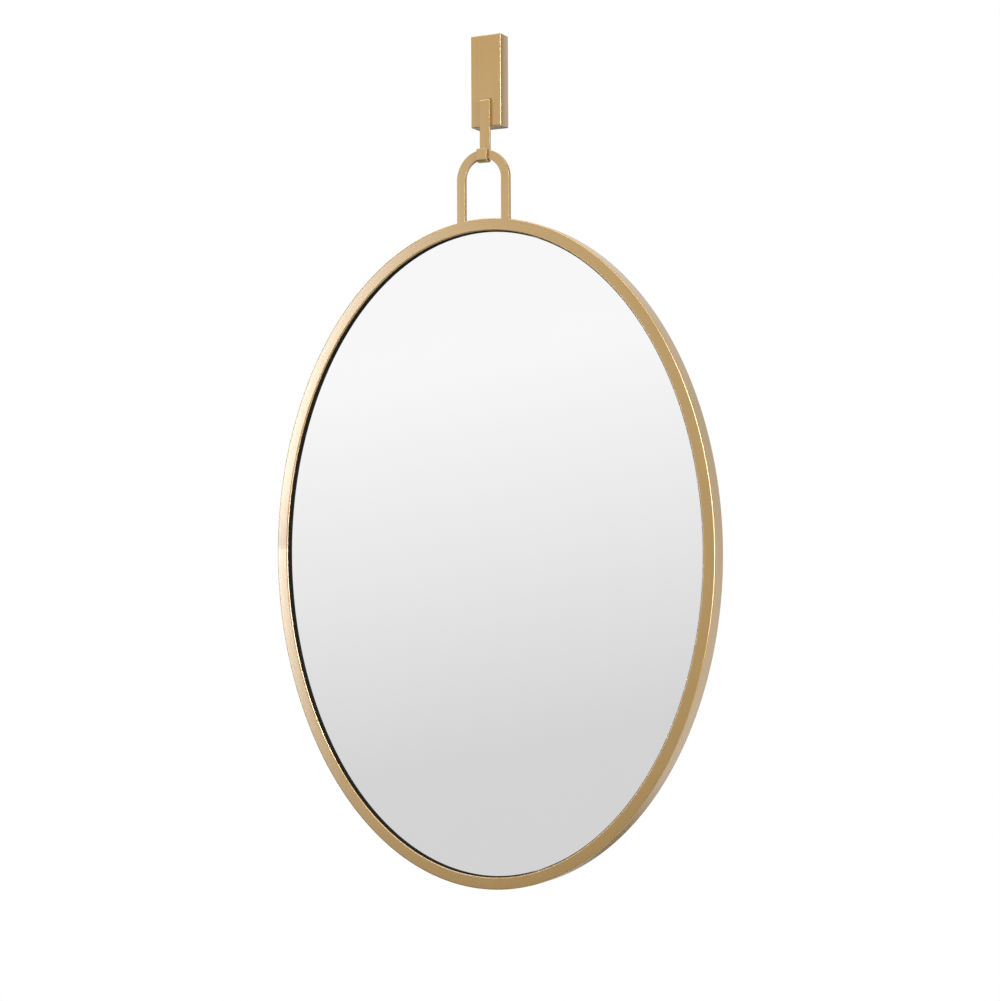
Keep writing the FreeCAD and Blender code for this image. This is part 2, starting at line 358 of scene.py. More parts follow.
# %% Pressed board and zinc
def make_fibre_board():
    material, bench, place = start_finish("fibre_board")
    fleck = noise(bench, stretched(bench, place, (430, 430, 230)), scale=1.0, detail=5.0, roughness=0.7)
    crossing = noise(bench, stretched(bench, place, (210, 430, 400)), scale=1.0, detail=5.0, roughness=0.7)
    patch = noise(bench, place, scale=16.0, detail=5.0, roughness=0.6)
    fibre = fleck * 0.35 + crossing * 0.35 + patch * 0.3
    return close_finish(material, bench, {
        "Base Color": between(bench, fibre, colour(0.06, 0.030, 0.013), colour(0.56, 0.385, 0.230)),
        "Roughness": 0.55 + fibre * 0.25,
        "Normal": bumped(bench, fibre, strength=0.35, distance=0.3 * MM),
    })


def make_zinc_steel():
    material, bench, place = start_finish("zinc_steel")
    frost = bench.node("ShaderNodeTexVoronoi", {}, {"Vector": place, "Scale": 420.0}, "Color")
    crystal = bench.node("ShaderNodeSeparateColor", {}, {"Color": frost}, "Red")
    rolled = noise(bench, stretched(bench, place, (900, 900, 60)), scale=1.0, detail=3.0)
    shine = crystal * 0.5 + rolled * 0.5
    return close_finish(material, bench, {
        "Base Color": between(bench, shine, colour(0.40, 0.41, 0.42), colour(0.60, 0.61, 0.62)),
        "Metallic": 1.0,
        "Roughness": 0.30 + shine * 0.2,
        "Normal": bumped(bench, rolled, strength=0.15, distance=0.1 * MM),
    })


fibre_board = make_fibre_board()
zinc_steel = make_zinc_steel()


# %% [markdown]
# Growing pieces with Geometry Nodes. A tree with named sizes makes the shape, the result is read once as a
# plain mesh, and the helper object goes away. A modifier that stayed live would be slower.

# %% Trees with named inputs
KINDS = {
    "Corners": "NodeSocketGeometry",
    "Count": "NodeSocketInt",
    "Plane": "NodeSocketVector",
    "Finish": "NodeSocketMaterial",
    "Template": "NodeSocketObject",
}


def start_tree(name, *inputs):
    """A Geometry Nodes tree with named inputs; hands back its bench and a wire for each input."""
    tree = bpy.data.node_groups.new(name, "GeometryNodeTree")
    tree.interface.new_socket("Geometry", in_out="OUTPUT", socket_type="NodeSocketGeometry")
    for label in inputs:
        tree.interface.new_socket(label, in_out="INPUT", socket_type=KINDS.get(label, "NodeSocketFloat"))
    bench = Bench(tree)
    return bench, [bench.node("NodeGroupInput", {}, {}, label) for label in inputs]


def close_tree(bench, geometry, finish):
    """Realize the result, give it its finish and send it out."""
    plain = bench.node("GeometryNodeRealizeInstances", {}, {"Geometry": geometry})
    dressed = bench.node("GeometryNodeSetMaterial", {}, {"Geometry": plain, "Material": finish})
    bench.node("NodeGroupOutput", {}, {"Geometry": dressed})
    print("tree", bench.tree.name, len(bench.tree.nodes), "nodes")
    return bench.tree


print("inputs that aren't plain numbers:", ", ".join(KINDS))


# %% Trees run once
DOUBLES = 0.002 * MM


def link(name, data):
    """An object for a mesh, a lamp or a camera, in the scene."""
    piece = bpy.data.objects.new(name, data)
    bpy.context.scene.collection.objects.link(piece)
    return piece


def evaluated_mesh(piece):
    """What a piece looks like after its modifiers, as a plain mesh."""
    graph = bpy.context.evaluated_depsgraph_get()
    return bpy.data.meshes.new_from_object(piece.evaluated_get(graph), depsgraph=graph)


def clean(mesh):
    """Merge doubles, turn the faces outwards and shade them smooth."""
    work = bmesh.new()
    work.from_mesh(mesh)
    bmesh.ops.remove_doubles(work, verts=work.verts, dist=DOUBLES)
    bmesh.ops.recalc_face_normals(work, faces=work.faces)
    for face in work.faces:
        face.smooth = True
    work.to_mesh(mesh)
    work.free()


def grow(name, tree, sizes, seed_mesh=None):
    """Run a tree once and keep the result as a plain mesh piece."""
    host = link(name + "_host", seed_mesh or bpy.data.meshes.new(name + "_host"))
    modifier = host.modifiers.new("grow", "NODES")
    modifier.node_group = tree
    for item in tree.interface.items_tree:
        if item.in_out == "INPUT" and item.name in sizes:
            modifier[item.identifier] = sizes[item.name]
    mesh = evaluated_mesh(host)
    bpy.data.objects.remove(host)
    clean(mesh)
    mesh.materials.clear()
    mesh.materials.append(sizes["Finish"])
    mesh.polygons.foreach_set("material_index", [0] * len(mesh.polygons))
    return link(name, mesh)


print("points closer than", DOUBLES / MM, "mm are merged")


# %% [markdown]
# Cutting and settling. Holes and slots are Boolean cuts by cutters that are thrown away. They could be
# modelled face by face, but a cut is exact and easy to move. A real edge is never quite sharp, so a piece
# with crisp edges gets a small bevel that catches the light. Then the piece is put on its body.

# %% Cutting and settling
CRISP = math.radians(50)
BEVEL_STEPS = 2


def carve(piece, *cutters):
    """Cut other pieces out of a piece and throw the cutters away."""
    for cutter in cutters:
        cut = piece.modifiers.new("cut", "BOOLEAN")
        cut.operation = "DIFFERENCE"
        cut.solver = "EXACT"
        cut.object = cutter
    mesh = evaluated_mesh(piece)
    piece.modifiers.clear()
    piece.data = mesh
    for cutter in cutters:
        bpy.data.objects.remove(cutter)
    clean(mesh)
    return piece


def settle(piece, body, nodes, bevel=None):
    """Round the crisp edges, even out the shading, and put the piece on its body for its CAD nodes."""
    if bevel:
        rounding = piece.modifiers.new("edge", "BEVEL")
        rounding.width = bevel
        rounding.segments = BEVEL_STEPS
        rounding.limit_method = "ANGLE"
        rounding.angle_limit = CRISP
    shading = piece.modifiers.new("shading", "WEIGHTED_NORMAL")
    shading.keep_sharp = True
    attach(piece, body)
    if nodes:
        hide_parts(*nodes)
    print(piece.name, len(piece.data.polygons), "faces on", body)


print("edges sharper than", round(math.degrees(CRISP)), "degrees can get a bevel")


# %% [markdown]
# A bar that follows a path. Ring, loop, strap, plate and tabs are all one idea: a rounded rectangle pushed
# along a line. Extruding by hand would need a new drawing for each, so `sweep` adds the nodes once. It also
# stores the grain that the gold finish reads: across the section, and where the centre line is.

# %% Lines and sections
EDGE_STEPS = 6


def from_parts(bench, x, y, z):
    """A vector from three numbers or wires."""
    return bench.node("ShaderNodeCombineXYZ", {}, {"X": x, "Y": y, "Z": z})


def moved(bench, geometry, **change):
    """Geometry with a Translation, Rotation or Scale."""
    return bench.node("GeometryNodeTransform", {}, {"Geometry": geometry, **change})


def circle(bench, steps, radius):
    """A round line that lies flat in the XY plane, round the origin."""
    return bench.node("GeometryNodeCurvePrimitiveCircle", {}, {"Resolution": steps, "Radius": radius})


def rounded(bench, line, steps, radius):
    """A line with rounded corners."""
    return bench.node(
        "GeometryNodeFilletCurve", {"mode": "POLY"},
        {"Curve": line, "Count": steps, "Radius": radius, "Limit Radius": True},
    )


def rounded_rectangle(bench, width, height, edge):
    """A rectangle with rounded corners that lies flat in the XY plane, round the origin."""
    line = bench.node("GeometryNodeCurvePrimitiveQuadrilateral", {}, {"Width": width, "Height": height})
    return rounded(bench, line, EDGE_STEPS, edge)


def pushed_along(bench, path, section, caps):
    """A section pushed along a path, with closed ends where caps says so."""
    return bench.node(
        "GeometryNodeCurveToMesh", {}, {"Curve": path, "Profile Curve": section, "Fill Caps": caps},
    )


print("edges are rounded in", EDGE_STEPS, "steps")


# %% The sweep
WALL_PLANE = (0, 1, 0)
SIDE_PLANE = (1, 0, 0)
LEVEL_PLANE = (0, 0, 1)


def parts_of(bench, vector):
    """The three numbers of a vector."""
    return [bench.node("ShaderNodeSeparateXYZ", {}, {"Vector": vector}, axis) for axis in "XYZ"]


def store(bench, geometry, name, kind, value):
    """Keep a value on every point under a name."""
    return bench.node(
        "GeometryNodeStoreNamedAttribute", {"data_type": kind, "domain": "POINT"},
        {"Geometry": geometry, "Name": name, "Value": value},
    )


def stored(bench, name, kind):
    """Read back a value that was kept under a name."""
    return bench.node("GeometryNodeInputNamedAttribute", {"data_type": kind}, {"Name": name}, "Attribute")


def sweep(bench, path, plane, in_plane, across_plane, edge, caps):
    """Push a rounded rectangle along a path in a plane, given by its normal, and store its grain."""
    section = rounded_rectangle(bench, across_plane, in_plane, edge)
    x, y = parts_of(bench, bench.node("GeometryNodeInputPosition"))[:2]
    section = store(bench, section, "across", "FLOAT", x + y)
    path = store(bench, path, "along", "FLOAT_VECTOR", bench.node("GeometryNodeInputPosition"))
    path = bench.node("GeometryNodeSetCurveNormal", {"mode": "FREE"}, {"Curve": path, "Normal": plane})
    bar = pushed_along(bench, path, section, caps)
    x, y, z = parts_of(bench, stored(bench, "along", "FLOAT_VECTOR"))
    grain = from_parts(bench, stored(bench, "across", "FLOAT"), x + y, z)
    return store(bench, bar, "grain", "FLOAT_VECTOR", grain)


print("sweep ready")


# %% [markdown]
# The frame ring. On the real mirror a rectangular tube is rolled to an oval and welded shut. A torus can't
# give a flat face, and the CAD mesh shows its facets in a satin finish, so the section is swept along a
# fine oval. The drain hole low on the back is cut out afterwards.

# %% Oval bar
OVAL_STEPS = 640
UPRIGHT = (math.pi / 2, 0, 0)


def oval_inset(inset):
    """Sizes of the ring's outline, moved inwards."""
    return {"Half Width": HALF_WIDTH - inset, "Half Height": HALF_HEIGHT - inset}


def flat_oval(bench, half_width, half_height):
    """An oval line that lies flat in the XY plane, round the origin."""
    size = from_parts(bench, half_width, half_height, 1.0)
    return moved(bench, circle(bench, OVAL_STEPS, 1.0), Scale=size)


def stand_up(bench, geometry, depth):
    """Turn what lies flat into the mirror's plane, round the ring's centre at a depth."""
    centre = from_parts(bench, 0.0, depth, CENTRE_HEIGHT)
    return moved(bench, geometry, Translation=centre, Rotation=UPRIGHT)


def oval_bar_tree():
    bench, (half_width, half_height, depth, face, side, edge, finish) = start_tree(
        "oval_bar", "Half Width", "Half Height", "Depth", "Face", "Side", "Edge", "Finish",
    )
    path = stand_up(bench, flat_oval(bench, half_width, half_height), depth)
    return close_tree(bench, sweep(bench, path, WALL_PLANE, face, side, edge, False), finish)


oval_bar = oval_bar_tree()


# %% [markdown]
# Turned pieces. Screws, bumpers and round holes are a profile that goes round an axis. A Screw modifier
# could spin it, but rings of points joined face by face close both ends as well, from a short list of pairs.

# %% Turned pieces
def keep(work, name, finish):
    """A piece from a bmesh, with its finish; the bmesh goes away."""
    mesh = bpy.data.meshes.new(name)
    work.to_mesh(mesh)
    work.free()
    mesh.materials.append(finish)
    return link(name, mesh)


def turned(name, profile, steps, finish, place):
    """A turned piece: pairs of radius and height, spun round the Z axis and closed at both ends."""
    work = bmesh.new()
    rings = []
    for radius, height in profile:
        turns = [2 * math.pi * step / steps for step in range(steps)]
        points = [(radius * math.cos(turn), radius * math.sin(turn), height) for turn in turns]
        rings.append([work.verts.new(point) for point in points])
    for lower, upper in zip(rings, rings[1:]):
        for step in range(steps):
            after = (step + 1) % steps
            work.faces.new((lower[step], lower[after], upper[after], upper[step]))
    work.faces.new(rings[0])
    work.faces.new(rings[-1])
    work.transform(place)
    piece = keep(work, name, finish)
    clean(piece.data)
    return piece


def facing_wall(x, y, z):
    """A turned piece's place when its axis points at the wall."""
    return Matrix.Translation((x, y, z)) @ Matrix.Rotation(-math.pi / 2, 4, "X")


print("turned pieces ready")


# %% Frame ring
DRAIN_RADIUS = 2.0 * MM
DRAIN_DEPTH = 8.0 * MM
PAST = 2.0 * MM
HOLE_STEPS = 32
ring_tube = grow("ring_tube", oval_bar, {
    **oval_inset(FACE / 2),
    "Depth": (FRONT + BACK) / 2,
    "Face": FACE,
    "Side": BACK - FRONT,
    "Edge": RING_EDGE,
    "Finish": satin_gold,
})
drain_profile = [(DRAIN_RADIUS, -DRAIN_DEPTH), (DRAIN_RADIUS, PAST)]
drain_place = facing_wall(0, BACK, CENTRE_HEIGHT - HALF_HEIGHT + FACE / 2)
carve(ring_tube, turned("drain_cutter", drain_profile, HOLE_STEPS, satin_gold, drain_place))
print("ring", len(ring_tube.data.polygons), "faces after cutting")


# %% [markdown]
# The joint in the ring. The rolled tube meets itself on the left, a little above the middle, where a butt
# weld was ground almost flush. A bump in the finish would not be in the mesh, so a thin bead goes round the
# section, more than half sunk in the tube. A step of shade and light is painted into the gold at the seam:
# darker above it, lighter below, both fading out along the tube, and the lacquer thinner where darker.

# %% Ring seam
SEAM_ABOVE_CENTRE = 8 * MM
DARKER_ABOVE = -0.55
LIGHTER_BELOW = 0.30
SHADE_FADE_ABOVE = 75 * MM
SHADE_FADE_BELOW = 30 * MM
BEAD_RADIUS = 0.35 * MM
BEAD_SUNK = 0.22 * MM
BEAD_STEPS = 10
seam_height = CENTRE_HEIGHT + SEAM_ABOVE_CENTRE
# Paint a step of shade into the gold at the seam: darker above it, lighter below, fading out along the tube.
dressing = ring_tube.data.attributes.new("dressing", "FLOAT", "POINT")
for vertex, mark in zip(ring_tube.data.vertices, dressing.data):
    above = vertex.co.z - seam_height
    if vertex.co.x < 0 and above > 0:
        mark.value = DARKER_ABOVE * max(0.0, 1 - above / SHADE_FADE_ABOVE)
    elif vertex.co.x < 0:
        mark.value = LIGHTER_BELOW * max(0.0, 1 + above / SHADE_FADE_BELOW)
settle(ring_tube, "mirror", ["frame_ring"])


def seam_tree():
    bench, (width, height, edge, radius, finish) = start_tree(
        "seam", "Width", "Height", "Edge", "Radius", "Finish",
    )
    middle = (FACE / 2 - HALF_WIDTH, (FRONT + BACK) / 2, seam_height)
    outline = moved(bench, rounded_rectangle(bench, width, height, edge), Translation=middle)
    bead = pushed_along(bench, outline, circle(bench, BEAD_STEPS, radius), False)
    return close_tree(bench, bead, finish)


ring_seam = grow("ring_seam", seam_tree(), {
    "Width": FACE - 2 * BEAD_SUNK,
    "Height": BACK - FRONT - 2 * BEAD_SUNK,
    "Edge": RING_EDGE,
    "Radius": BEAD_RADIUS,
    "Finish": satin_gold,
})
settle(ring_seam, "mirror", [])


# %% [markdown]
# Bent bars. The hanging loop, the strap, the wall plate and the tabs are flat bars with bends. Each is
# drawn as the corners of its centre line, and Fillet Curve rounds each corner by the bend that it carries.

# %% Bent bar
BEND_STEPS = 20


def bent_bar_tree():
    bench, (corners, plane, thickness, width, edge, finish) = start_tree(
        "bent_bar", "Corners", "Plane", "Thickness", "Width", "Edge", "Finish",
    )
    path = bench.node("GeometryNodeMeshToCurve", {}, {"Mesh": corners})
    path = rounded(bench, path, BEND_STEPS, stored(bench, "bend", "FLOAT"))
    return close_tree(bench, sweep(bench, path, plane, thickness, width, edge, True), finish)


bent_bar = bent_bar_tree()


def corner_mesh(lines):
    """A mesh of lines; each corner is a point with the radius of its bend."""
    points = [point for line in lines for point, bend in line]
    bends = [bend for line in lines for point, bend in line]
    edges = []
    first = 0
    for line in lines:
        edges += [(first + step, first + step + 1) for step in range(len(line) - 1)]
        first += len(line)
    mesh = bpy.data.meshes.new("corners")
    mesh.from_pydata(points, edges, [])
    mesh.attributes.new("bend", "FLOAT", "POINT").data.foreach_set("value", bends)
    return mesh


def bent(name, corners, plane, thickness, width, edge, finish):
    """A flat bar that is bent at its corners, which lie in a plane."""
    sizes = {"Plane": plane, "Thickness": thickness, "Width": width, "Edge": edge, "Finish": finish}
    return grow(name, bent_bar, sizes, corner_mesh([corners]))


# %% [markdown]
# The hanging loop. It is an arch of flat bar, welded on top of the ring with its front flush. Its feet are
# trimmed to the ring's outline, just where the ring's rounded edge ends, so face runs into face. The arch
# is two corners, each bent a hair less than half the arch, because full bends would leave no line between.

# %% Hanging loop
loop_low, loop_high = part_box("hanging_loop")
LOOP_BAR = 10.4 * MM
LOOP_EDGE = 0.5 * MM
FOOT_SPARE = 4.0 * MM
ALMOST_ALL = 0.9999
loop_depth = loop_high.y - loop_low.y
arch_radius = (loop_high.x - loop_low.x) / 2 - LOOP_BAR / 2
arch_top = loop_high.z - LOOP_BAR / 2
loop_middle = (loop_low.y + loop_high.y) / 2
foot_height = loop_low.z - FOOT_SPARE


def outline_height(x, inset):
    """Height of the ring's outline above a place across the mirror, moved inwards by an inset."""
    share = x / (HALF_WIDTH - inset)
    return CENTRE_HEIGHT + (HALF_HEIGHT - inset) * math.sqrt(1 - share * share)


loop_corners = [
    (Vector((-arch_radius, loop_middle, foot_height)), 0.0),
    (Vector((-arch_radius, loop_middle, arch_top)), arch_radius * ALMOST_ALL),
    (Vector((arch_radius, loop_middle, arch_top)), arch_radius * ALMOST_ALL),
    (Vector((arch_radius, loop_middle, foot_height)), 0.0),
]
loop_bar = bent("loop_bar", loop_corners, WALL_PLANE, LOOP_BAR, loop_depth, LOOP_EDGE, satin_gold)
for vertex in loop_bar.data.vertices:
    if vertex.co.z < foot_height + MM:
        vertex.co.z = outline_height(vertex.co.x, RING_EDGE - WELD_GAP)
settle(loop_bar, "mirror", ["hanging_loop"])

# %% [markdown]
# Weld beads at the loop's feet. The fronts were ground flush, so each bead runs round the other three sides.
# They could be sculpted, but a small circle pushed along a line follows the ring's outline by itself.

# %% Loop welds
WELD_RADIUS = 0.7 * MM
WELD_STEPS = 12


def weld_tree():
    bench, (corners, radius, finish) = start_tree("weld", "Corners", "Radius", "Finish")
    line = bench.node("GeometryNodeMeshToCurve", {}, {"Mesh": corners})
    line = rounded(bench, line, EDGE_STEPS, stored(bench, "bend", "FLOAT"))
    bead = pushed_along(bench, line, circle(bench, WELD_STEPS, radius), True)
    return close_tree(bench, bead, finish)


weld_lines = []
weld_start = FRONT + 2 * WELD_RADIUS
for side in (-1, 1):
    inner = side * (arch_radius - LOOP_BAR / 2)
    outer = side * (arch_radius + LOOP_BAR / 2)
    line = []
    for x, y in ((inner, weld_start), (inner, loop_high.y), (outer, loop_high.y), (outer, weld_start)):
        line.append((Vector((x, y, outline_height(x, 0))), LOOP_EDGE))
    weld_lines.append(line)
loop_welds = grow("loop_welds", weld_tree(), {"Radius": WELD_RADIUS, "Finish": satin_gold},
                  corner_mesh(weld_lines))
settle(loop_welds, "mirror", [])


# %% [markdown]
# The hook strap. It comes out of the block's slot, hangs down its face and turns up in front of the loop.
# Its corners follow the CAD strap: over the slot's rounded lip, down, under the loop, and up as a short
# tab. The bend over the lip is pressed nearly square on its outside and stays round on its inside. A
# superellipse does that: the higher the squareness, the sharper the corner.

# %% Hook strap
strap_low, strap_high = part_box("hook_strap")
tilt = next(joint for joint in frame["joints"] if joint["name"] == "strap_tilt")
lip_axis = Vector(tilt["pos_m"])
lean = math.radians(max(tilt["range_deg"]))
STRAP = 3.0 * MM
STRAP_EDGE = 0.35 * MM
LIP_BEND = 1.3 * MM + STRAP / 2
HOOK_BEND = 0.8 * MM + STRAP / 2
TAIL = 9.0 * MM
TAB_RISE = 13.9 * MM
SQUARENESS = 6
STRAP_BEVEL = 0.3 * MM
leg_depth = lip_axis.y - LIP_BEND
tab_depth = strap_low.y + STRAP / 2
hook_height = strap_low.z + STRAP / 2
tab_top = hook_height + TAB_RISE
tail_outward = Vector((0, math.cos(lean), math.sin(lean)))
tail_down = Vector((0, math.sin(lean), -math.cos(lean)))
leg_outward = Vector((0, -1, 0))
over_lip = (leg_outward + tail_outward) * (LIP_BEND / (1 + leg_outward.dot(tail_outward)))
strap_corners = [
    (lip_axis + tail_outward * LIP_BEND + tail_down * TAIL, 0.0),
    (lip_axis + over_lip, LIP_BEND),
    (Vector((0, leg_depth, hook_height)), HOOK_BEND),
    (Vector((0, tab_depth, hook_height)), HOOK_BEND),
    (Vector((0, tab_depth, tab_top)), 0.0),
]
strap_width = strap_high.x - strap_low.x
strap_bar = bent("strap_bar", strap_corners, SIDE_PLANE, STRAP, strap_width, STRAP_EDGE, satin_gold)
for vertex in strap_bar.data.vertices:
    forward = lip_axis.y - vertex.co.y
    upward = vertex.co.z - lip_axis.z
    if forward > 0 and upward > 0:
        radius = math.hypot(forward, upward)
        depth = (radius - LIP_BEND + STRAP / 2) / STRAP
        square = (forward ** SQUARENESS + upward ** SQUARENESS) ** (1 / SQUARENESS)
        stretch = 1 + (radius / square - 1) * depth
        vertex.co.y = lip_axis.y - forward * stretch
        vertex.co.z = lip_axis.z + upward * stretch
settle(strap_bar, "strap", ["hook_strap"], STRAP_BEVEL)


# %% [markdown]
# The wall block. It is a five-sided box of sheet metal with softened edges, open to the wall, with a slot
# for the strap. A cube with bevelled front edges is the outside, and cutters take out the inside, the slot
# and the two countersunk holes on top.

# %% Wall block
block_low, block_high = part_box("wall_block")
BLOCK_WALL = 2.0 * MM
BLOCK_EDGE = 1.2 * MM
SLOT_SIDE = 0.4 * MM
SLOT_HEIGHT = 4.2 * MM
SCREW_SPACING = 18.0 * MM
SCREW_HEAD = 2.9 * MM
SCREW_SHANK = 1.6 * MM
HOLE_DEPTH = 9.0 * MM
LIP_ROUND = 0.48 * BLOCK_WALL
ROUND_STEPS = 48
NEAR = 0.01 * MM
lip_top = lip_axis.z + BLOCK_WALL / 2
slot_half = strap_width / 2 + SLOT_SIDE


def cuboid(name, low, high, finish):
    """A box between two corners."""
    work = bmesh.new()
    bmesh.ops.create_cube(work, size=1.0)
    size = Vector(high) - Vector(low)
    work.transform(Matrix.Translation((Vector(low) + Vector(high)) / 2) @ Matrix.Diagonal((*size, 1)))
    return keep(work, name, finish)


def soften(piece, chosen, radius, steps):
    """Round the edges of a piece that a test chooses."""
    work = bmesh.new()
    work.from_mesh(piece.data)
    edges = [edge for edge in work.edges if chosen(edge)]
    bmesh.ops.bevel(
        work, geom=edges, offset=radius, segments=steps, profile=0.5, affect="EDGES", clamp_overlap=True,
    )
    work.to_mesh(piece.data)
    work.free()
    clean(piece.data)


def not_on_wall(edge):
    return min(vertex.co.y for vertex in edge.verts) < -BLOCK_EDGE


def on_slot_lip(edge):
    along_x = abs(edge.verts[0].co.x - edge.verts[1].co.x) > slot_half
    return along_x and all(abs(vertex.co.z - lip_top) < NEAR for vertex in edge.verts)


screw_places = [
    Vector((side * SCREW_SPACING / 2, block_low.y / 2, block_high.z)) for side in (-1, 1)
]


def countersink(place, name):
    """Cutter for one countersunk hole whose mouth is at a place on the block's top."""
    cone_end = SCREW_SHANK - SCREW_HEAD
    profile = [(SCREW_SHANK, -HOLE_DEPTH), (SCREW_SHANK, cone_end), (SCREW_HEAD, 0.0), (SCREW_HEAD, PAST)]
    return turned(name, profile, ROUND_STEPS, satin_gold, Matrix.Translation(place))


block_shell = cuboid("block_shell", block_low, (block_high.x, 0.0, block_high.z), satin_gold)
soften(block_shell, not_on_wall, BLOCK_EDGE, EDGE_STEPS)
carve(
    block_shell,
    cuboid("inside", (block_low.x + BLOCK_WALL, block_low.y + BLOCK_WALL, block_low.z + BLOCK_WALL),
           (block_high.x - BLOCK_WALL, PAST, block_high.z - BLOCK_WALL), satin_gold),
    cuboid("slot", (-slot_half, block_low.y - PAST, lip_top),
           (slot_half, block_low.y + BLOCK_WALL + PAST, lip_top + SLOT_HEIGHT), satin_gold),
    *[countersink(place, "hole") for place in screw_places],
)
soften(block_shell, on_slot_lip, LIP_ROUND, EDGE_STEPS)
print("block", len(block_shell.data.polygons), "faces after cutting")


def give_upright_grain(piece):
    """Store brush marks that run upwards."""
    grain = piece.data.attributes.new("grain", "FLOAT_VECTOR", "POINT")
    for vertex, mark in zip(piece.data.vertices, grain.data):
        mark.vector = (vertex.co.x + vertex.co.y, 0.0, vertex.co.z)


give_upright_grain(block_shell)
settle(block_shell, "wall_mount", ["wall_block"])

# %% [markdown]
# The screws in the block's top. They are countersunk with a hexagon socket, so a turned cone gets a hexagon
# cut. Two copies in one mesh are enough, because both belong to the wall mount.

# %% Block screws
HEX_RADIUS = 2.0 * MM / math.sqrt(3)
HEX_DEPTH = 1.0 * MM
HEX_SIDES = 6
SCREW_PLAY = 0.1 * MM
SCREW_LENGTH = 8.0 * MM
HEAD_RIM = 0.15 * MM
SCREW_BEVEL = 0.08 * MM
head_radius = SCREW_HEAD - SCREW_PLAY
shank_radius = SCREW_SHANK - SCREW_PLAY
block_screw_profile = [
    (shank_radius, -SCREW_LENGTH),
    (shank_radius, shank_radius - head_radius),
    (head_radius, -HEAD_RIM),
    (head_radius, 0.0),
]
hex_profile = [(HEX_RADIUS, -HEX_DEPTH), (HEX_RADIUS, PAST)]


def join(name, pieces):
    """One piece from several."""
    work = bmesh.new()
    for piece in pieces:
        work.from_mesh(piece.data)
    joined = keep(work, name, pieces[0].data.materials[0])
    for piece in pieces:
        bpy.data.objects.remove(piece)
    return joined


block_screw_list = []
for place in screw_places:
    at_place = Matrix.Translation(place)
    screw = turned("screw", block_screw_profile, ROUND_STEPS, satin_gold, at_place)
    socket = turned("socket", hex_profile, HEX_SIDES, satin_gold, at_place)
    block_screw_list.append(carve(screw, socket))
block_screw_pair = join("block_screw_pair", block_screw_list)
give_upright_grain(block_screw_pair)
settle(block_screw_pair, "wall_mount", ["block_screws"], SCREW_BEVEL)

# %% [markdown]
# The wall plate. It is a folded strip of zinc-plated steel inside the block: two holes for wall screws, and
# an ear under the block's top that takes the two small screws. It is a bent bar like the strap, and its
# holes are cut after the fold, so that they stay round.

# %% Wall plate
plate_low, plate_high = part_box("wall_plate")
PLATE = 2.0 * MM
FOLD = 1.0 * MM + PLATE / 2
WALL_HOLE = 2.5 * MM
WALL_HOLE_SPACING = 64.0 * MM
EAR_DEPTH = 10.0 * MM
SHEET_EDGE = 0.2 * MM
PLATE_BEVEL = 0.15 * MM
plate_corners = [
    (Vector((0, -PLATE / 2, plate_low.z)), 0.0),
    (Vector((0, -PLATE / 2, plate_high.z - PLATE / 2)), FOLD),
    (Vector((0, plate_low.y, plate_high.z - PLATE / 2)), 0.0),
]
plate_width = plate_high.x - plate_low.x
plate_bar = bent("plate_bar", plate_corners, SIDE_PLANE, PLATE, plate_width, SHEET_EDGE, zinc_steel)
hole_profile = [(WALL_HOLE, -2 * PLATE), (WALL_HOLE, 2 * PLATE)]
wall_holes = [
    turned("hole", hole_profile, ROUND_STEPS, zinc_steel, facing_wall(0, 0, side * WALL_HOLE_SPACING / 2))
    for side in (-1, 1)
]
ear_profile = [(SCREW_SHANK, -EAR_DEPTH), (SCREW_SHANK, PAST)]
ear_holes = [
    turned("hole", ear_profile, HOLE_STEPS, zinc_steel, Matrix.Translation(place)) for place in screw_places
]
carve(plate_bar, *wall_holes, *ear_holes)
settle(plate_bar, "wall_mount", ["wall_plate"], PLATE_BEVEL)


# %% [markdown]
# The pane, the tape and the board. The pane and the board are plates with the ring's outline moved inwards.
# A filled oval is pushed back by its thickness, and a bevel takes the sharp arris off the glass.

# %% Oval plates
def oval_plate_tree():
    bench, (half_width, half_height, depth, thickness, finish) = start_tree(
        "oval_plate", "Half Width", "Half Height", "Depth", "Thickness", "Finish",
    )
    outline = flat_oval(bench, half_width, half_height)
    face = bench.node("GeometryNodeFillCurve", {"mode": "NGONS"}, {"Curve": outline})
    backwards = from_parts(bench, 0.0, 0.0, 0.0 - thickness)
    body = bench.node(
        "GeometryNodeExtrudeMesh", {},
        {"Mesh": face, "Offset": backwards, "Offset Scale": 1.0, "Individual": False},
    )
    both = bench.node("GeometryNodeJoinGeometry", {}, {"Geometry": [face, body]})
    return close_tree(bench, stand_up(bench, both, depth), finish)


oval_plate = oval_plate_tree()


def make_oval_plate(name, node, finish):
    """A plate that fills the box of its CAD node."""
    low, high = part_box(node)
    return grow(name, oval_plate, {
        **oval_inset(ring_high.z - high.z),
        "Depth": low.y,
        "Thickness": high.y - low.y,
        "Finish": finish,
    })


# %% Mirror pane, board and tape
SILVERED, PAINTED, GROUND = range(3)
ARRIS = 0.3 * MM
TAPE = 0.5 * MM
TAPE_EDGE = 0.1 * MM
mirror_pane = make_oval_plate("mirror_pane", "mirror_glass", mirror_silver)
mirror_pane.data.materials.append(backing_paint)
mirror_pane.data.materials.append(ground_edge)
pane_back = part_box("mirror_glass")[1].y
for face in mirror_pane.data.polygons:
    face.material_index = PAINTED if abs(face.center.y - pane_back) < NEAR else SILVERED
settle(mirror_pane, "mirror", ["mirror_glass"], ARRIS)
mirror_pane.modifiers["edge"].material = GROUND

board_panel = make_oval_plate("board_panel", "backing_board", fibre_board)
settle(board_panel, "mirror", ["backing_board"], ARRIS)

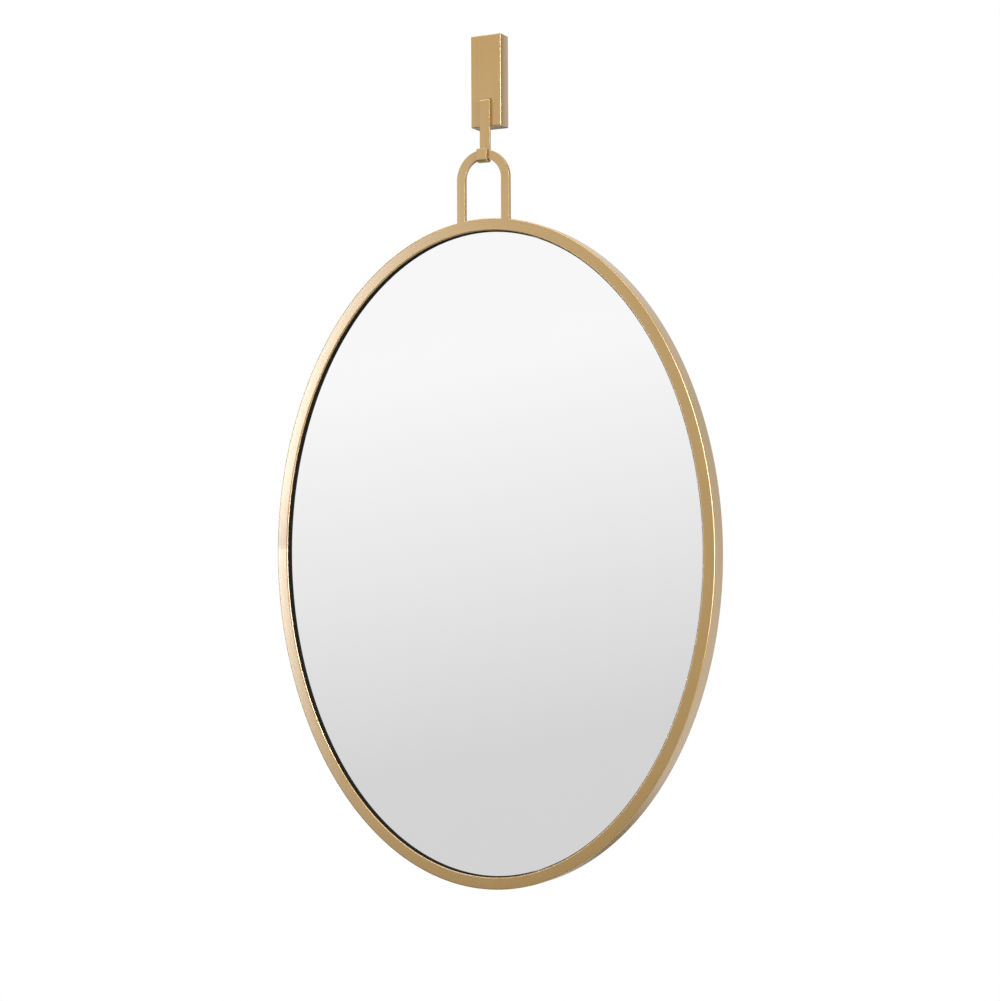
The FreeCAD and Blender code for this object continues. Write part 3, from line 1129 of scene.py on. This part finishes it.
tape_low, tape_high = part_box("edge_tape")
tape_lining = grow("tape_lining", oval_bar, {
    **oval_inset(FACE + WELD_GAP + TAPE / 2),
    "Depth": (tape_low.y + tape_high.y) / 2,
    "Face": TAPE,
    "Side": tape_high.y - tape_low.y,
    "Edge": TAPE_EDGE,
    "Finish": black_tape,
})
settle(tape_lining, "mirror", ["edge_tape"])


# %% [markdown]
# What stands round the oval. Eight tabs with their screws hold the board, and four rubber bumpers keep the
# ring off the wall. Placing each by hand would be slow to change, so one template is scattered on points of
# an oval, and each copy turns to face outwards.

# %% Scatter round the oval
def scatter_tree():
    bench, (half_width, half_height, count, template, finish) = start_tree(
        "scatter", "Half Width", "Half Height", "Count", "Template", "Finish",
    )
    half_step = bench.node("ShaderNodeMath", {"operation": "DIVIDE"}, {0: math.pi, 1: count})
    places = moved(bench, circle(bench, count, 1.0), Rotation=from_parts(bench, 0.0, 0.0, half_step))
    oval = moved(bench, places, Scale=from_parts(bench, half_width, half_height, 1.0))
    oval = moved(bench, oval, Rotation=UPRIGHT)
    squares = from_parts(bench, half_width * half_width, 1.0, half_height * half_height)
    outward = bench.node(
        "ShaderNodeVectorMath", {"operation": "DIVIDE"},
        {0: bench.node("GeometryNodeInputPosition"), 1: squares},
    )
    turned_out = bench.node(
        "FunctionNodeAlignRotationToVector", {"axis": "X", "pivot_axis": "Y"}, {"Vector": outward},
    )
    copy = bench.node("GeometryNodeObjectInfo", {}, {"Object": template}, "Geometry")
    copies = bench.node(
        "GeometryNodeInstanceOnPoints", {}, {"Points": oval, "Instance": copy, "Rotation": turned_out},
    )
    return close_tree(bench, moved(bench, copies, Translation=(0, 0, CENTRE_HEIGHT)), finish)


scatter = scatter_tree()


def stand_round(name, template, inset, count, finish):
    """Copies of a template on the ring's outline moved inwards; the template's +X points outwards."""
    sizes = {**oval_inset(inset), "Count": count, "Template": template, "Finish": finish}
    copies = grow(name, scatter, sizes)
    bpy.data.objects.remove(template)
    return copies


# %% [markdown]
# The tabs are short angles of zinc-plated sheet, welded to the inside of the ring with one leg on the
# board. A bent bar makes one, and its bend keeps the fold's round corner, which two boxes would lose.

# %% Board tabs
TAB_COUNT = 8
TAB_SHEET = 1.5 * MM
TAB_WIDTH = 20.0 * MM
TAB_REACH = 14.0 * MM
TAB_BEND = 0.4 * MM + TAB_SHEET / 2
TAB_BACK_MARGIN = 3.0 * MM
CURVE_ROOM = 0.25 * MM
TAB_BEVEL = 0.2 * MM
board_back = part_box("backing_board")[1].y
tab_corners = [
    (Vector((-TAB_REACH, board_back + TAB_SHEET / 2, 0)), 0.0),
    (Vector((-TAB_SHEET / 2 - CURVE_ROOM, board_back + TAB_SHEET / 2, 0)), TAB_BEND),
    (Vector((-TAB_SHEET / 2 - CURVE_ROOM, BACK - TAB_BACK_MARGIN, 0)), 0.0),
]
tab_template = bent("tab_template", tab_corners, LEVEL_PLANE, TAB_SHEET, TAB_WIDTH, SHEET_EDGE, zinc_steel)
tab_set = stand_round("tab_set", tab_template, FACE + WELD_GAP, TAB_COUNT, zinc_steel)
settle(tab_set, "mirror", [f"board_tab_{step + 1}" for step in range(TAB_COUNT)], TAB_BEVEL)

# %% [markdown]
# The tab screws have a round head with a cross recess. A screw is turned, and two thin boxes cut the cross,
# because a cross drawn only in the finish would be flat from the side.

# %% Tab screws
SCREW_INSET = FACE + WELD_GAP + TAB_REACH / 2
HEAD_RADIUS = 3.0 * MM
HEAD_HEIGHT = 2.0 * MM
HEAD_ROUND = 0.9 * MM
SHANK = 1.5 * MM
SHANK_LENGTH = 5.5 * MM
CROSS_LONG = 2.0 * MM
CROSS_NARROW = 0.4 * MM
CROSS_DEPTH = 0.9 * MM
TAB_SCREW_BEVEL = 0.06 * MM
SMALL_ROUND_STEPS = 40
head_seat = board_back + TAB_SHEET


def round_rim(radius, height, rounding):
    """The end of a turned profile: a side that rounds over into a flat top."""
    profile = []
    for step in range(EDGE_STEPS + 1):
        turn = math.radians(90 * step / EDGE_STEPS)
        inwards = rounding * (1 - math.cos(turn))
        below = rounding * (1 - math.sin(turn))
        profile.append((radius - inwards, height - below))
    return profile


dome = round_rim(HEAD_RADIUS, HEAD_HEIGHT, HEAD_ROUND)
screw_profile = [(SHANK, -SHANK_LENGTH), (SHANK, 0.0), (HEAD_RADIUS, 0.0), *dome]
tab_screw = turned(
    "tab_screw_template", screw_profile, SMALL_ROUND_STEPS, zinc_steel, facing_wall(0, head_seat, 0),
)
slot_bottom = head_seat + HEAD_HEIGHT - CROSS_DEPTH
slot_end = head_seat + HEAD_HEIGHT + PAST
carve(tab_screw, *[
    cuboid("slot", (-across, slot_bottom, -upwards), (across, slot_end, upwards), zinc_steel)
    for across, upwards in ((CROSS_LONG, CROSS_NARROW), (CROSS_NARROW, CROSS_LONG))
])
tab_screw_set = stand_round("tab_screw_set", tab_screw, SCREW_INSET, TAB_COUNT, zinc_steel)
settle(tab_screw_set, "mirror", ["tab_screws"], TAB_SCREW_BEVEL)

# %% [markdown]
# The bumpers are rubber feet on the back of the ring, tapered and with a round rim. A plain cylinder would
# show its sharp rim from the side, so they are turned from a profile like the screws.

# %% Wall bumpers
BUMPER_COUNT = 4
BUMPER_RADIUS = 5.0 * MM
BUMPER_TIP = 4.0 * MM
BUMPER_HEIGHT = 2.0 * MM
BUMPER_ROUND = 0.5 * MM
bumper_profile = [(BUMPER_RADIUS, 0.0), *round_rim(BUMPER_TIP, BUMPER_HEIGHT, BUMPER_ROUND)]
bumper = turned(
    "bumper_template", bumper_profile, SMALL_ROUND_STEPS, bumper_rubber, facing_wall(0, BACK, 0),
)
bumper_set = stand_round("bumper_set", bumper, FACE / 2, BUMPER_COUNT, bumper_rubber)
settle(bumper_set, "mirror", [f"wall_bumper_{step + 1}" for step in range(BUMPER_COUNT)])

# %% [markdown]
# The bonding strips lie between pane and board, where only their ends could ever show. Their CAD boxes have
# the right shape already, so they stay and only get the foam finish.

# %% Bonding strips
for name, node in frame["nodes"].items():
    if name.startswith("bonding_strip"):
        node.data.materials.clear()
        node.data.materials.append(foam_tape)
        print(name, "in foam")


# %% [markdown]
# The camera. It stands to the right of the mirror at the height of the oval's middle and looks level, so
# that upright lines stay parallel. The mirror is low and left in the picture, and aiming the camera
# elsewhere would tilt those lines, so the view is shifted instead. It is also rolled by a quarter of a
# degree, because the mirror hangs that much out of true.

# %% Camera
VIEW_TURN = math.radians(27.6)
VIEW_ROLL = math.radians(-0.26)
VIEW_DISTANCE = 2.4
SENSOR_WIDTH = 36.0
FOCAL_PIXELS = 2114
PICTURE_LONG_SIDE = 1001
PICTURE_MIDDLE = (500.0, 500.5)
MIRROR_PIXEL = (484.4, 554.0)
target = Vector((0, FRONT, CENTRE_HEIGHT))
camera_data = bpy.data.cameras.new("camera")
camera_data.sensor_width = SENSOR_WIDTH
camera_data.lens = FOCAL_PIXELS / PICTURE_LONG_SIDE * SENSOR_WIDTH
camera_data.shift_x = (PICTURE_MIDDLE[0] - MIRROR_PIXEL[0]) / PICTURE_LONG_SIDE
camera_data.shift_y = (MIRROR_PIXEL[1] - PICTURE_MIDDLE[1]) / PICTURE_LONG_SIDE
camera = link("camera", camera_data)
camera.location = target + Vector((math.sin(VIEW_TURN), -math.cos(VIEW_TURN), 0)) * VIEW_DISTANCE
upright = Matrix.Rotation(VIEW_TURN, 3, "Z") @ Matrix.Rotation(math.pi / 2, 3, "X")
camera.rotation_euler = (upright @ Matrix.Rotation(VIEW_ROLL, 3, "Z")).to_euler()
bpy.context.scene.camera = camera
print("lens", round(camera_data.lens, 1))
print("shift", round(camera_data.shift_x, 4), round(camera_data.shift_y, 4))


# %% [markdown]
# The studio. Three sweeps of paper surround the mirror, each with its own brightness by height. The front
# one is bright at eye level and falls off towards the floor, which is the grey that the pane shows in its
# lower half. The right one is more even. The back one leans, and its bands shade the side of the ring. They
# blend where they meet. The camera sees plain white and reflections see the sweeps, so the world asks which
# kind of ray has reached it.

# %% World
FRONT_SWEEP = [
    (-90, 0.08), (-30, 0.08), (-17, 0.14), (-13, 0.36), (-10.5, 0.655), (-5.3, 0.665), (0, 0.807),
    (5.5, 0.945), (10, 0.93), (18, 0.58), (32, 0.34), (55, 0.40), (90, 0.50),
]
RIGHT_SWEEP = [
    (-90, 0.45), (-45, 0.52), (-20, 0.66), (0, 0.80), (10, 0.90), (25, 0.75), (60, 0.60), (90, 0.55),
]
BACK_SWEEP = [
    (-90, 0.40), (-36, 0.75), (-30, 0.75), (-23, 0.10), (-18, 0.15), (-9, 0.95),
    (2, 1.10), (17, 1.03), (23, 1.05), (27, 0.40), (31, 0.12), (90, 0.15),
]
RIGHT_BLEND = (-0.33, 0.17)
BACK_BLEND = (-0.3, 0.2)
FRONT_LEAN = 0.22
FRONT_SHIFT = 0.10
BACK_LEAN = 1.5
AMBIENT = 0.85


def smooth_step(bench, value, start, end):
    """A mask that goes smoothly from 0 to 1 as a value goes from its start to its end."""
    return bench.node(
        "ShaderNodeMapRange", {"interpolation_type": "SMOOTHSTEP"},
        {"Value": value, "From Min": start, "From Max": end, "To Min": 0.0, "To Max": 1.0},
    )


def sweep_colour(bench, rise, stops):
    """Brightness of the sweep by height; the stops are pairs of elevation in degrees and level."""
    places = [((math.sin(math.radians(angle)) + 1) / 2, grey(level)) for angle, level in stops]
    return bench.node("ShaderNodeValToRGB", {"stops": places}, {"Fac": rise * 0.5 + 0.5}, "Color")


def make_studio_world():
    world = bpy.data.worlds.new("studio")
    world.use_nodes = True
    bench = Bench(world.node_tree)
    direction = bench.node("ShaderNodeTexCoord", {}, {}, "Generated")
    x, y, rise = parts_of(bench, direction)
    front = sweep_colour(bench, rise - x * FRONT_LEAN - FRONT_SHIFT, FRONT_SWEEP)
    right = sweep_colour(bench, rise, RIGHT_SWEEP)
    front = between(bench, smooth_step(bench, x, *RIGHT_BLEND), front, right)
    back = sweep_colour(bench, (rise + x * BACK_LEAN) * (1 / math.hypot(1, BACK_LEAN)), BACK_SWEEP)
    studio = between(bench, smooth_step(bench, y, *BACK_BLEND), front, back)
    camera_ray = bench.node("ShaderNodeLightPath", {}, {}, "Is Camera Ray")
    glossy_ray = bench.node("ShaderNodeLightPath", {}, {}, "Is Glossy Ray")
    through_ray = bench.node("ShaderNodeLightPath", {}, {}, "Is Transmission Ray")
    seen = between(bench, glossy_ray + through_ray, grey(AMBIENT), studio)
    shown = between(bench, camera_ray, seen, grey(1.0))
    background = bench.node("ShaderNodeBackground", {}, {"Color": shown, "Strength": 1.0})
    bench.node("ShaderNodeOutputWorld", {}, {"Surface": background})
    print("world", len(bench.tree.nodes), "nodes")
    return world


bpy.context.scene.world = make_studio_world()
bpy.context.scene.view_settings.view_transform = "Standard"


# %% [markdown]
# Softboxes. The tall narrow one on the left leans, lights the left of the ring, and stays outside what the
# pane shows to the camera. The one on the right draws the bright lines along the right-hand edges, and the
# wide one overhead draws the thin lines along the edges that face up.

# %% Softboxes
def softbox(name, turn, rise, distance, width, height, lean, radiance):
    """A rectangular lamp round the mirror; turn is from straight ahead towards the right, in degrees, and
    lean is how far its top leans to the right."""
    lamp = bpy.data.lights.new(name, "AREA")
    lamp.shape = "RECTANGLE"
    lamp.size = width
    lamp.size_y = height
    lamp.energy = radiance * math.pi * width * height
    box = link(name, lamp)
    angle = math.radians(turn)
    away = Vector((math.sin(angle), -math.cos(angle), math.tan(math.radians(rise)))).normalized()
    box.location = target + away * distance
    box.rotation_mode = "QUATERNION"
    box.rotation_quaternion = away.to_track_quat("Z", "Y") @ Quaternion((0, 0, 1), -math.radians(lean))
    box.visible_camera = False
    print(name, "at", [round(side, 2) for side in box.location], "power", round(lamp.energy, 1))


softbox("left_strip", turn=-39.3, rise=3.8, distance=4.2, width=0.3, height=1.8, lean=12, radiance=27.5)
softbox("right_strip", turn=73, rise=14, distance=1.4, width=0.25, height=1.5, lean=0, radiance=36.0)
softbox("top_panel", turn=-10, rise=74, distance=1.6, width=2.4, height=0.8, lean=0, radiance=4.5)

# %% [markdown]
# The floor. It is a pale disc well below the mirror, so far down that the pane doesn't show it at eye
# level. A square plane would show its edge, so the disc fades out to its rim and meets the white unseen.

# %% Floor
FLOOR_DROP = 1.0
FLOOR_RADIUS = 1.4
FLOOR_STEPS = 96
FADE_START = 0.45 * FLOOR_RADIUS
FADE_END = 0.98 * FLOOR_RADIUS


def make_floor_finish():
    material, bench, place = start_finish("pale_floor")
    distance = bench.node("ShaderNodeVectorMath", {"operation": "LENGTH"}, {0: place}, "Value")
    speck = noise(bench, place, scale=30.0, detail=4.0)
    return close_finish(material, bench, {
        "Base Color": between(bench, speck, grey(0.66), grey(0.70)),
        "Roughness": 0.7 + speck * 0.1,
        "Alpha": 1 - smooth_step(bench, distance, FADE_START, FADE_END),
    })


floor_work = bmesh.new()
bmesh.ops.create_circle(floor_work, cap_ends=True, segments=FLOOR_STEPS, radius=FLOOR_RADIUS)
floor = keep(floor_work, "floor", make_floor_finish())
floor.location.z = cad_low.z - FLOOR_DROP
